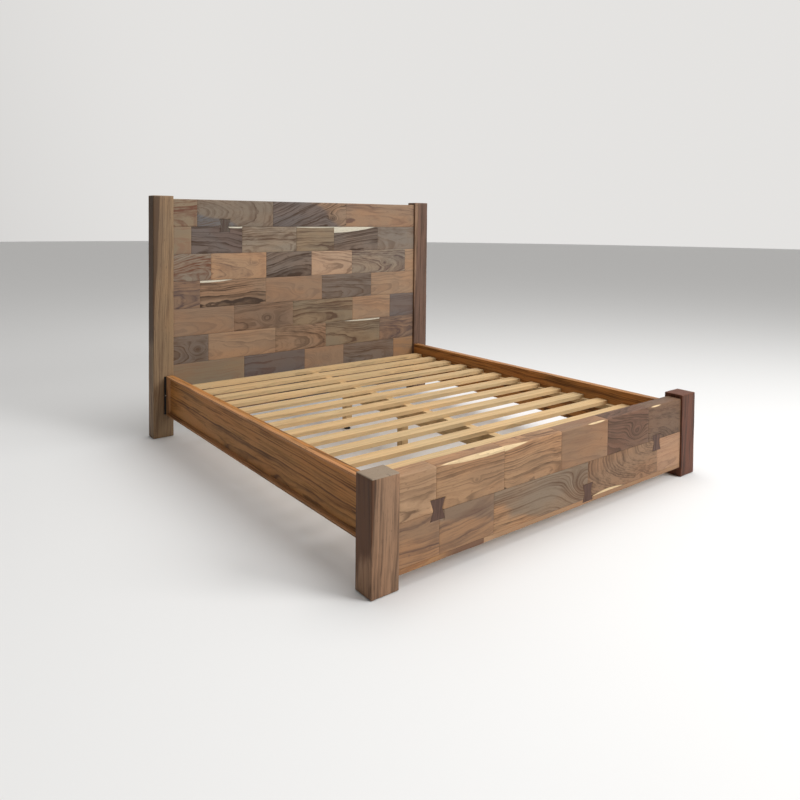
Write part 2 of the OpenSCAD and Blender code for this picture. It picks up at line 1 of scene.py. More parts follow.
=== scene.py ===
"""A king-size bed frame of heavy hardwood blocks: a tall headboard and a low
footboard of short blocks laid in rows, held by bow-tie keys between solid posts,
with stained side rails, softwood slats and a centre beam on levelling feet."""
import math
from collections import namedtuple

import bmesh
import bpy
from mathutils import Matrix, Vector, noise


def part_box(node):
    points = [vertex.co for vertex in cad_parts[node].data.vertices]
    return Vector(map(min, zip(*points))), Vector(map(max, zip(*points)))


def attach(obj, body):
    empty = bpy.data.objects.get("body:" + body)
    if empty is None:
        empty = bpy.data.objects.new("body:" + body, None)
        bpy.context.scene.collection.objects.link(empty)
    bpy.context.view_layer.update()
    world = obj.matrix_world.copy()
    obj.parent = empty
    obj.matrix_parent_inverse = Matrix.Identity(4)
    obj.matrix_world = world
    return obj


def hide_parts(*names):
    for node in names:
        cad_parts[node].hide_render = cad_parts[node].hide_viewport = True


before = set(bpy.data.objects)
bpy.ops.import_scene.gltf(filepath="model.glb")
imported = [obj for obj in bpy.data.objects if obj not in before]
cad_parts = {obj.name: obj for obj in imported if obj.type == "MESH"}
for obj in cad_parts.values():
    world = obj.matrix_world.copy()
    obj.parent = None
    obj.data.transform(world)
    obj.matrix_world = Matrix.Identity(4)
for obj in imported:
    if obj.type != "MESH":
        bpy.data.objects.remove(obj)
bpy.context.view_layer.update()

bl_info = {
    "name": "Block-built bed frame",
    "version": (1, 0, 0),
    "blender": (4, 5, 0),
    "location": "View3D > Sidebar > Bed",
    "description": "Makes the visible pieces of a hardwood block bed frame around its CAD frame",
    "category": "Object",
}

BODY = "frame"


# ---------------------------------------------------------------- sizes and tones

def tone(hexed):
    """A colour written as six hex digits, in the linear light that shaders use."""
    parts = [int(hexed[i:i + 2], 16) / 255 for i in (0, 2, 4)]
    return tuple(c / 12.92 if c <= 0.04045 else ((c + 0.055) / 1.055) ** 2.4 for c in parts)


TONES = {name: tone(hexed) for name, hexed in {
    "cream": "dcc8a4",
    "bone": "dcd2ba",
    "pale_tan": "b6967a",
    "honey": "b08b6a",
    "rose_tan": "a6866e",
    "tan": "a68568",
    "ochre": "a27c5a",
    "tan_brown": "9a7b61",
    "mid_brown": "8c705a",
    "olive_tan": "8e7a62",
    "olive_grey": "867462",
    "grey_brown": "7c6b5e",
    "slate": "70635c",
    "ash_brown": "857668",
    "dusk": "6e5447",
    "umber": "5f3d28",
    "taupe": "92816e",
    "fawn": "8e755a",
    "walnut": "4e3a2a",
    "warm_brown": "98765c",
    "smoke": "6f594a",
    "blue_grey": "6e6a68",
    "purple_brown": "624e46",
    "red_brown": "704a38",
    "russet": "653c2b",
    "umber_black": "3a251b",
    "dark_brown": "604a3a",
    "deep_brown": "48362a",
}.items()}


class BedSizes(bpy.types.PropertyGroup):
    """Sizes of the handwork that the CAD frame leaves out."""

    edge: bpy.props.FloatProperty(
        name="Block edge", description="Radius of the eased edges of each block",
        default=0.0012, min=0.0004, max=0.012, unit="LENGTH")
    outer_edge: bpy.props.FloatProperty(
        name="Outer edge", description="Radius of the panels' top and bottom edges",
        default=0.0060, min=0.0005, max=0.02, unit="LENGTH")
    hollow: bpy.props.FloatProperty(
        name="Plane marks", description="Depth of the shallow hollows left on the faces",
        default=0.0009, min=0.0, max=0.004, unit="LENGTH")
    step: bpy.props.FloatProperty(
        name="Mesh spacing", description="Distance between mesh lines on the blocks",
        default=0.014, min=0.005, max=0.05, unit="LENGTH")
    live_edge: bpy.props.FloatProperty(
        name="Live edge", description="How far the natural edge of the log cuts the top corner",
        default=0.013, min=0.0, max=0.04, unit="LENGTH")
    key_gap: bpy.props.FloatProperty(
        name="Key gap", description="Clearance between a bow-tie key and its pocket",
        default=0.0009, min=0.0002, max=0.003, unit="LENGTH")
    post_edge: bpy.props.FloatProperty(
        name="Post edge", description="Radius of the long edges of the posts",
        default=0.0040, min=0.002, max=0.02, unit="LENGTH")
    rail_edge: bpy.props.FloatProperty(
        name="Rail edge", description="Radius of the eased edges of rails and mouldings",
        default=0.0015, min=0.0002, max=0.004, unit="LENGTH")


class BedFinish(bpy.types.PropertyGroup):
    """Colours of the rails, keys, softwood and floor, and the shine of the woods."""

    rail: bpy.props.FloatVectorProperty(
        name="Rails", description="Stained side rails and mouldings",
        subtype="COLOR", default=tone("b67e46"), min=0, max=1)
    moulding: bpy.props.FloatVectorProperty(
        name="Rail mouldings", description="Stained mouldings round the side rails",
        subtype="COLOR", default=tone("bb875a"), min=0, max=1)
    rail_dark: bpy.props.FloatVectorProperty(
        name="Rails, dark grain", description="Dark grain of the stained side rails",
        subtype="COLOR", default=tone("634020"), min=0, max=1)
    head_key: bpy.props.FloatVectorProperty(
        name="Headboard key", description="Grey-brown bow-tie key of the headboard",
        subtype="COLOR", default=tone("5d544c"), min=0, max=1)
    keys: bpy.props.FloatVectorProperty(
        name="Keys", description="Dark bow-tie keys of the footboard",
        subtype="COLOR", default=tone("61483d"), min=0, max=1)
    keys_dark: bpy.props.FloatVectorProperty(
        name="Keys, dark grain", description="Dark grain of the bow-tie keys",
        subtype="COLOR", default=tone("46322a"), min=0, max=1)
    softwood: bpy.props.FloatVectorProperty(
        name="Softwood", description="Slats, cleats, beam and legs",
        subtype="COLOR", default=tone("cfb084"), min=0, max=1)
    floor: bpy.props.FloatVectorProperty(
        name="Floor", description="Plain pale floor",
        subtype="COLOR", default=(0.80, 0.80, 0.795), min=0, max=1)
    gloss: bpy.props.FloatProperty(
        name="Gloss", description="Strength of the shine on the woods",
        subtype="FACTOR", default=0.20, min=0.0, max=1)
    polish: bpy.props.FloatProperty(
        name="Roughness", description="Roughness of the oiled hardwood",
        subtype="FACTOR", default=0.52, min=0.05, max=1)


def sizes():
    return bpy.context.scene.bed_sizes


def finish():
    return bpy.context.scene.bed_finish


# ---------------------------------------------------------------- shader maths

class Field:
    """One shader socket that takes part in Python sums."""

    def __init__(self, shade, socket):
        self.shade, self.socket = shade, socket

    def __add__(self, other):
        return self.shade.maths("ADD", self, other)

    def __sub__(self, other):
        return self.shade.maths("SUBTRACT", self, other)

    def __rsub__(self, other):
        return self.shade.maths("SUBTRACT", other, self)

    def __mul__(self, other):
        return self.shade.maths("MULTIPLY", self, other)

    def __truediv__(self, other):
        return self.shade.maths("DIVIDE", self, other)

    def __rtruediv__(self, other):
        return self.shade.maths("DIVIDE", other, self)

    def __pow__(self, other):
        return self.shade.maths("POWER", self, other)

    __radd__, __rmul__ = __add__, __mul__


FULL_GLOSS, BUMP = 0.5, 0.6


class Shade:
    """Builds the node tree of its owner, a material or a world."""

    def __init__(self, owner):
        self.owner = owner
        self.owner.use_nodes = True
        self.tree = self.owner.node_tree
        self.tree.nodes.clear()

    def node(self, kind, settings=None, sockets=None, out=0):
        """Adds a node, sets it up, feeds its sockets, and gives one of its outputs."""
        made = self.tree.nodes.new(kind)
        for key, value in (settings or {}).items():
            setattr(made, key, value)
        for key, value in (sockets or {}).items():
            if isinstance(value, Field):
                self.tree.links.new(value.socket, made.inputs[key])
            else:
                made.inputs[key].default_value = value
        return Field(self, made.outputs[out]) if len(made.outputs) else None

    def maths(self, operation, *values, clamp=False):
        return self.node("ShaderNodeMath", {"operation": operation, "use_clamp": clamp},
                         dict(enumerate(values)))

    def place(self):
        """A point on the object, in metres."""
        return self.node("ShaderNodeTexCoord", out="Object")

    def parts(self, vector):
        """The three parts of a vector, either a socket's or plain numbers."""
        if not isinstance(vector, Field):
            return tuple(vector)
        made = self.node("ShaderNodeSeparateXYZ", sockets={0: vector}).socket.node
        return tuple(Field(self, made.outputs[i]) for i in range(3))

    def vector(self, x, y, z):
        return self.node("ShaderNodeCombineXYZ", sockets={0: x, 1: y, 2: z})

    def cloud(self, vector, scale=1.0, detail=2.0, colour=False):
        """Smooth noise, about 0.5 on average, or three of them as a colour."""
        return self.node("ShaderNodeTexNoise", None,
                         {"Vector": vector, "Scale": scale, "Detail": detail},
                         "Color" if colour else 0)

    def chance(self, value):
        """A different number from 0 to 1 for each value."""
        return self.node("ShaderNodeTexWhiteNoise", {"noise_dimensions": "1D"}, {"W": value})

    def rise(self, value, low, high):
        """0 below low, 1 above high and smooth between them."""
        return self.node("ShaderNodeMapRange", {"interpolation_type": "SMOOTHSTEP"},
                         {"Value": value, "From Min": low, "From Max": high})

    def mix(self, share, first, second, how="MIX"):
        """One colour over another."""
        def full(c):
            return c if isinstance(c, Field) else (*c[:3], 1.0)
        return self.node("ShaderNodeMix", {"data_type": "RGBA", "blend_type": how},
                         {0: share, 6: full(first), 7: full(second)}, 2)

    def stored(self, name):
        """A value that the mesh keeps for each face."""
        return self.node("ShaderNodeAttribute", {"attribute_name": name}, out="Vector")

    def surface(self, colour, roughness, height=None, depth=0.0, metallic=0.0,
                gloss=FULL_GLOSS):
        """The surface itself, with bump from a height from 0 to 1."""
        sockets = {"Base Color": colour if isinstance(colour, Field) else (*colour[:3], 1.0),
                   "Roughness": roughness, "Metallic": metallic,
                   "Specular IOR Level": gloss}
        if height is not None:
            sockets["Normal"] = self.node("ShaderNodeBump", None, {
                "Height": height, "Strength": BUMP, "Distance": depth})
        shader = self.node("ShaderNodeBsdfPrincipled", None, sockets)
        self.node("ShaderNodeOutputMaterial", None, {"Surface": shader})
        return self.owner


# ---------------------------------------------------------------- woods

# How one piece was cut from its log. heart is a point of the log's centre line; lean its
# slope across and up the piece and how far the rings waver; look the ring width, contrast
# and seed; mottle the strength of dark patches and of the hue drift; knot the place along
# and up from heart, and the size, of one knot; shift the place along, slope and strength
# where the tone other takes over; brink the edge, across and up from heart, that the tone
# rim follows, and how wavy it is; band the rim's middle and half length along, and height.
Cut = namedtuple("Cut", "light dark other rim heart lean look mottle knot shift brink band")
NONE = (0.0, 0.0, 0.0)
NO_BAND = (0.0, 1.0, -0.02)
WARM, COOL = (1.08, 1.0, 0.90), (0.94, 0.99, 1.0)

# How fast each pattern changes, per metre along the grain and across it, and for lines
# outward from the heart too.
RIPPLE_RATES, PATCH_RATES, HUE_RATES = (5.0, 15.0), (4.5, 11.0), (2.6, 8.0)
PORE_RATES, FLECK_RATES = (38.0, 420.0), (26.0, 80.0)
STREAK_RATES, LINE_RATES, LINE_RATE_OUT = (3.0, 110.0), (1.3, 22.0), 46.0
HEART_RATE, BAND_RATE = 1.7, 24.0
# What keeps two patterns of one seed apart.
LUCK_SEED, BAND_SEED = 17.0, 3.0
# Where each pattern begins to show and where it is full.
PATCH_RANGE, HUE_RANGE = (0.50, 0.66), (0.36, 0.64)
PORE_RANGE, FLECK_RANGE = (0.60, 0.72), (0.70, 0.76)
SHIFT_RANGE, SAPWOOD_RANGE = (-0.05, 0.05), (-0.001, 0.002)
# How far the heart wanders, as shares of the waver, and how far the border of the other
# tone wanders, in metres.
SIDE_WANDER, RISE_WANDER, SHIFT_WANDER = 2.2, 3.0, 0.5
# A knot's stretch along the grain, how far it bends the rings, and its own darkness.
KNOT_STRETCH, KNOT_BEND, KNOT_DARK = 0.35, 1.5, 0.4
# Where a ring's dark late wood ends, its least strength and how much that varies.
LATE_END, LATE_LEAST, LATE_VARIES = 0.88, 0.35, 1.1
VEIN_WIDTH = 0.035
# How much each pattern darkens the wood.
LATE_DARK, LUCK_DARK, STREAK_DARK, LINE_DARK, VEIN_DARK = 0.80, 0.30, 2.2, 1.8, 0.40
PORE_DARK, FLECK_DARK, SAPWOOD_LATE = 0.30, 0.45, 0.3
# What the bump and the roughness take from the patterns.
LATE_HEIGHT, STREAK_HEIGHT, PORE_DEPTH, WOOD_BUMP = 0.25, 0.8, 0.4, 0.0007
STREAK_ROUGH, PORE_ROUGH = 0.22, 0.08
TINY = 0.00001


def wood(name, cut=None, grain="X", polish=None):
    """Sawn wood: rings round a leaning, wandering heart, sapwood outside, streaks and pores.
    With no cut given, the mesh's faces hold it."""
    s = Shade(bpy.data.materials.new(name))
    cut = cut or Cut(*[s.stored(field) for field in Cut._fields])
    x, y, z = s.parts(s.place())
    hx, hy, hz = s.parts(cut.heart)
    x, y, z = x - hx, y - hy, z - hz
    along, across, up = {"X": (x, y, z), "Y": (y, x, z), "Z": (z, y, x)}[grain]
    lean_across, lean_up, waver = s.parts(cut.lean)
    ring_width, contrast, seed = s.parts(cut.look)
    patches, drift, _ = s.parts(cut.mottle)
    knot_along, knot_up, knot_size = s.parts(cut.knot)
    shift_at, shift_slope, shift_share = s.parts(cut.shift)
    brink_across, brink_up, ragged = s.parts(cut.brink)
    band_at, band_half, band_height = s.parts(cut.band)

    def pattern(rates, detail, seeded=0):
        """Noise drawn out along the grain, with the seed added to one of its axes."""
        spot = [along * rates[0], across * rates[1], up * rates[1]]
        spot[seeded] = spot[seeded] + seed
        return s.cloud(s.vector(*spot), detail=detail)

    wander = s.parts(s.cloud(s.vector(along * HEART_RATE, seed, 0.0), colour=True))
    side = across - along * lean_across + (wander[0] - 0.5) * waver * SIDE_WANDER
    rise = up - along * lean_up + (wander[1] - 0.5) * waver * RISE_WANDER
    radius = (side * side + rise * rise) ** 0.5
    radius = radius + (pattern(RIPPLE_RATES, 3.0) - 0.5) * waver
    off_along, off_up = along - knot_along, up - knot_up
    spread = ((off_along * off_along * KNOT_STRETCH + off_up * off_up)
              / (knot_size * knot_size + TINY))
    knot = s.maths("EXPONENT", spread * -1.0)
    radius = radius + knot * knot_size * KNOT_BEND

    phase = radius / ring_width
    ring = s.maths("FLOOR", phase)
    within = phase - ring
    luck = s.chance(ring + seed * LUCK_SEED)
    late = (within * within * (1 - s.rise(within, LATE_END, 1.0))
            * (luck * LATE_VARIES + LATE_LEAST))
    tide = s.cloud(s.vector(radius * BAND_RATE, seed * BAND_SEED, 0.0), detail=1.0)
    streak = s.cloud(s.vector(along * STREAK_RATES[0] + seed, side * STREAK_RATES[1],
                              radius * STREAK_RATES[1]), detail=4.0)
    line = s.cloud(s.vector(along * LINE_RATES[0] + seed, side * LINE_RATES[1],
                            radius * LINE_RATE_OUT), detail=3.0)
    vein = 1 - s.rise(s.maths("ABSOLUTE", line - 0.5), 0.0, VEIN_WIDTH)
    patch = pattern(PATCH_RATES, 3.0, seeded=1)
    pore = s.rise(pattern(PORE_RATES, 1.0), *PORE_RANGE)
    fleck = s.rise(pattern(FLECK_RATES, 1.0, seeded=2), *FLECK_RANGE)

    shade = (contrast * (late * LATE_DARK + (luck - 0.5) * LUCK_DARK
                         + (streak - 0.5) * STREAK_DARK + (line - 0.5) * LINE_DARK
                         + vein * VEIN_DARK)
             + s.rise(tide * 0.5 + patch * 0.5, *PATCH_RANGE) * patches
             + knot * knot * KNOT_DARK)
    shade = s.maths("ADD", shade, 0.0, clamp=True)
    hue = pattern(HUE_RATES, 3.0)
    # Past a border the other tone takes over: a change of tone in the blocks, and on the left
    # posts the painted shade of their left faces.
    other = s.rise(along + up * shift_slope + (hue - 0.5) * SHIFT_WANDER - shift_at,
                   *SHIFT_RANGE)
    light = s.mix(other * shift_share, cut.light, cut.other)
    colour = s.mix(shade, light, cut.dark)
    tint = s.mix(s.rise(hue, *HUE_RANGE), WARM, COOL)
    colour = s.mix(drift, colour, s.mix(1.0, colour, tint, "MULTIPLY"))
    from_brink = ((across - brink_across) ** 2.0 + (up - brink_up) ** 2.0) ** 0.5
    away = (along - band_at) / band_half
    inside = band_height * (1 - away * away) + (hue - 0.5) * ragged - from_brink
    sapwood = s.rise(inside, *SAPWOOD_RANGE) * (1 - late * SAPWOOD_LATE)
    colour = s.mix(sapwood, colour, cut.rim)
    colour = s.mix(pore * PORE_DARK, colour, cut.dark)
    colour = s.mix(fleck * FLECK_DARK, colour, cut.dark)
    height = 0.5 + late * LATE_HEIGHT + (streak - 0.5) * STREAK_HEIGHT - pore * PORE_DEPTH
    polish = finish().polish if polish is None else polish
    return s.surface(colour, polish + (streak - 0.5) * STREAK_ROUGH + pore * PORE_ROUGH,
                     height, WOOD_BUMP, gloss=finish().gloss)


WEAR_SCALE, WEAR_RANGE, WEAR_SHARE, WEAR_LIGHTER = 14.0, (0.35, 0.75), 0.35, 1.35
FINE_ROUGH, FINE_BUMP = 0.25, 0.0002


def plain(name, colour, roughness, metallic=0.0, speckle=900.0):
    """Metal, paint or moulded plastic with a faint grain of its own."""
    s = Shade(bpy.data.materials.new(name))
    fine = s.cloud(s.place(), speckle, 2.0)
    wear = s.cloud(s.place(), WEAR_SCALE, 3.0)
    worn = s.mix(s.rise(wear, *WEAR_RANGE) * WEAR_SHARE, colour,
                 tuple(min(1.0, c * WEAR_LIGHTER + 0.01) for c in colour[:3]))
    return s.surface(worn, roughness + (fine - 0.5) * FINE_ROUGH, fine, FINE_BUMP, metallic)


# ---------------------------------------------------------------- timber meshes

def drift_at(*where):
    """Smooth noise from 0 to 1 at a place."""
    return 0.5 + 0.5 * noise.noise(Vector(where))


ARC_STEPS = 4
END_BENDS = [math.radians(angle) for angle in (90, 60, 30, 0)]
# The least share of an edge's radius, how much it varies, how fast, and what keeps the
# edges of one block and of two blocks apart.
EDGE_LEAST, EDGE_VARIES, EDGE_RATE = 0.55, 0.9, 9.0
CORNER_APART, SEED_APART = 5.7, 3.1
# How fast the hollows change along and across, and those of the finer ones and their share.
HOLLOW_RATES, FINE_HOLLOW_RATES, FINE_HOLLOW_SHARE = (7.0, 16.0), (31.0, 47.0), 0.35


def profile(low, high, radii, counts):
    """Points and outward directions round a rectangle with four eased corners, which go
    front-bottom, front-top, back-top, back-bottom. counts is the spans of an upright and
    of a level side."""
    (a0, b0), (a1, b1) = low, high
    corners = ((a0, b0, 1, 1), (a0, b1, 1, -1), (a1, b1, -1, -1), (a1, b0, -1, 1))
    arcs = []
    for turn, ((ca, cb, sa, sb), radius) in enumerate(zip(corners, radii)):
        arc = []
        for i in range(ARC_STEPS + 1):
            angle = math.radians(270 - 90 * turn - 90 * i / ARC_STEPS)
            da, db = math.cos(angle), math.sin(angle)
            arc.append((ca + (sa + da) * radius, cb + (sb + db) * radius, da, db))
        arcs.append(arc)
    points = []
    for arc, after, count in zip(arcs, arcs[1:] + arcs[:1], counts * 2):
        points += arc
        (a, b, da, db), (c, d) = arc[-1], after[0][:2]
        points += [(a + (c - a) * i / count, b + (d - b) * i / count, da, db)
                   for i in range(1, count)]
    return points


def hollow_at(place, a, b, seed, rates):
    """Smooth noise at a place on a face, with its rates along and across."""
    return drift_at(place * rates[0] + seed, a * rates[1], b * rates[1])


def loft(mesh, low, high, radii, seed, end_radii, turn="X"):
    """One timber: eased edges and ends and shallow hollows, never outside its box."""
    size = sizes()
    order = {"X": (0, 1, 2), "Z": (2, 0, 1)}[turn]
    l0, a0, b0 = (low[i] for i in order)
    l1, a1, b1 = (high[i] for i in order)
    near, far = end_radii
    count = max(2, round((l1 - l0) / size.step))
    reach = l1 - far - l0 - near
    stations = ([(l0 + near * (1 - math.sin(t)), near * (1 - math.cos(t)))
                 for t in END_BENDS]
                + [(l0 + near + reach * i / count, 0.0) for i in range(1, count)]
                + [(l1 - far * (1 - math.sin(t)), far * (1 - math.cos(t)))
                   for t in reversed(END_BENDS)])
    counts = [max(1, round((b1 - b0) / size.step)), max(1, round((a1 - a0) / size.step))]
    rows = []
    for place, inset in stations:
        varied = [radius(place) if callable(radius)
                  else radius * (EDGE_LEAST + EDGE_VARIES
                                 * drift_at(place * EDGE_RATE, seed * SEED_APART,
                                            corner * CORNER_APART))
                  for corner, radius in enumerate(radii)]
        row = []
        for a, b, da, db in profile((a0 + inset, b0 + inset), (a1 - inset, b1 - inset),
                                    varied, counts):
            dip = size.hollow * (
                hollow_at(place, a, b, seed, HOLLOW_RATES)
                + FINE_HOLLOW_SHARE * hollow_at(place, a, b, seed, FINE_HOLLOW_RATES))
            spot = [0.0, 0.0, 0.0]
            for axis, value in zip(order, (place, a - da * dip, b - db * dip)):
                spot[axis] = value
            row.append(mesh.verts.new(spot))
        rows.append(row)
    faces = [mesh.faces.new((first[i], first[(i + 1) % len(first)],
                             second[(i + 1) % len(first)], second[i]))
             for first, second in zip(rows, rows[1:]) for i in range(len(first))]
    for face in faces:
        face.smooth = True
    faces += [mesh.faces.new(rows[0]), mesh.faces.new(rows[-1])]
    return faces


def new_mesh():
    """An empty mesh whose faces can keep a Cut."""
    mesh = bmesh.new()
    for field in Cut._fields:
        mesh.faces.layers.float_vector.new(field)
    return mesh


def keep_cut(mesh, faces, cut):
    """Keeps a block's Cut on its faces, for the wood that all the blocks share."""
    for field, value in zip(Cut._fields, cut):
        layer = mesh.faces.layers.float_vector[field]
        for face in faces:
            face[layer] = value


def add_object(name, mesh):
    """Turns a mesh into an object of the scene."""
    data = bpy.data.meshes.new(name)
    mesh.to_mesh(data)
    mesh.free()
    made = bpy.data.objects.new(name, data)
    bpy.context.scene.collection.objects.link(made)
    return made


def make_piece(name, mesh, material, node):
    """Turns a mesh into a piece that rides on the frame and stands for a CAD node."""
    bmesh.ops.recalc_face_normals(mesh, faces=mesh.faces[:])
    piece = add_object(name, mesh)
    piece.data.materials.append(material)
    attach(piece, BODY)
    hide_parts(node)
    return piece


def carve(piece, cutter):
    """Cuts a pocket into a piece."""
    cut = piece.modifiers.new("pocket", "BOOLEAN")
    cut.operation, cut.solver, cut.object = "DIFFERENCE", "EXACT", cutter
    graph = bpy.context.evaluated_depsgraph_get()
    carved = bpy.data.meshes.new_from_object(piece.evaluated_get(graph), depsgraph=graph)
    piece.modifiers.remove(cut)
    piece.data = carved


# ---------------------------------------------------------------- how the blocks were cut

# How one block was cut. heart is behind the face and above the lower edge, lean in depth
# and in height. ring is the width of a ring. A knot has a share of the half length, a height
# above the lower edge and a size. A rim has a tone, its edge, its middle and length as shares
# of the half length, its height and how wavy it is. An other tone has the share of the half
# length where it takes over, the slope of that border and the strength.
Block = namedtuple(
    "Block", "light dark heart lean seed ring contrast patches drift waver knot rim other",
    defaults=(0.009, 1.0, 0.30, 0.7, 0.024, None, None, None))

FOOT_TOP = (
    Block("pale_tan", "dark_brown", (0.16, 0.03), (0.05, 0.06), 1.3, ring=0.008, contrast=0.55,
          patches=0.15, other=("tan_brown", 0.3, 2.2, 0.5)),
    Block("tan", "dark_brown", (0.085, 0.015), (0.02, 0.02), 2.7, ring=0.008, contrast=0.7,
          patches=0.25, waver=0.018, knot=(0.15, 0.075, 0.012),
          rim=("cream", "top", 0.40, 1.45, 0.017, 0.006), other=("mid_brown", 0.2, 1.5, 0.4)),
    Block("tan", "dark_brown", (0.085, 0.012), (0.06, 0.05), 3.1, ring=0.009, contrast=0.8,
          patches=0.25, rim=("cream", "top", -2.2, 2.15, 0.026, 0.006),
          other=("tan_brown", 0.3, -1.2, 0.5)),
    Block("mid_brown", "dusk", (0.13, -0.02), (0.03, -0.03), 4.9, ring=0.008, contrast=0.45,
          patches=0.2, drift=0.9, other=("tan", 0.1, -2.0, 0.1),
          rim=("cream", "top", 0.52, 0.52, 0.008, 0.004)),
    Block("dusk", "deep_brown", (0.09, 0.0), (0.06, -0.10), 5.2, ring=0.010, contrast=0.85,
          patches=0.35, knot=(0.40, 0.07, 0.036), other=("smoke", 0.4, -1.5, 0.5)),
    Block("smoke", "deep_brown", (0.08, -0.01), (0.20, 0.05), 6.6, ring=0.007, contrast=0.7,
          patches=0.2, rim=("cream", "top", -0.55, 0.42, 0.007, 0.003)),
)
FOOT_BOTTOM = (
    Block("tan_brown", "purple_brown", (0.12, 0.20), (0.05, -0.12), 7.4, ring=0.010,
          contrast=0.75, patches=0.35, other=("grey_brown", 0.1, 4.0, 0.35)),
    Block("tan_brown", "purple_brown", (0.13, 0.18), (0.03, 0.10), 8.8, ring=0.010,
          contrast=0.65, patches=0.35, other=("grey_brown", 0.5, 4.0, 0.8)),
    Block("tan", "dark_brown", (0.09, -0.03), (0.03, 0.06), 9.5, waver=0.016, contrast=0.9,
          patches=0.15, knot=(0.98, 0.06, 0.085), other=("ash_brown", -0.85, 2.2, 1.0)),
    Block("mid_brown", "dark_brown", (0.095, 0.160), (-0.35, 0.0), 10.1, ring=0.008,
          contrast=1.0, waver=0.020, patches=0.15, knot=(0.50, 0.02, 0.020),
          rim=("cream", "bottom", -0.46, 0.46, 0.013, 0.006)),
    Block("rose_tan", "dusk", (0.15, 0.03), (0.05, 0.05), 11.9, ring=0.008, contrast=0.5,
          patches=0.12, drift=0.4),
)
FOOT_EDGE = (
    Block("ochre", "red_brown", (0.12, 0.05), (0.02, 0.02), 12.4, patches=0.3,
          other=("dusk", 0.35, 2.0, 0.9)),
    Block("pale_tan", "tan_brown", (0.12, 0.04), (0.02, 0.02), 13.8, contrast=0.8, patches=0.2,
          other=("tan_brown", -0.75, 1.0, 0.8)),
    Block("tan_brown", "mid_brown", (0.10, 0.05), (0.02, 0.03), 14.3, contrast=0.8),
)
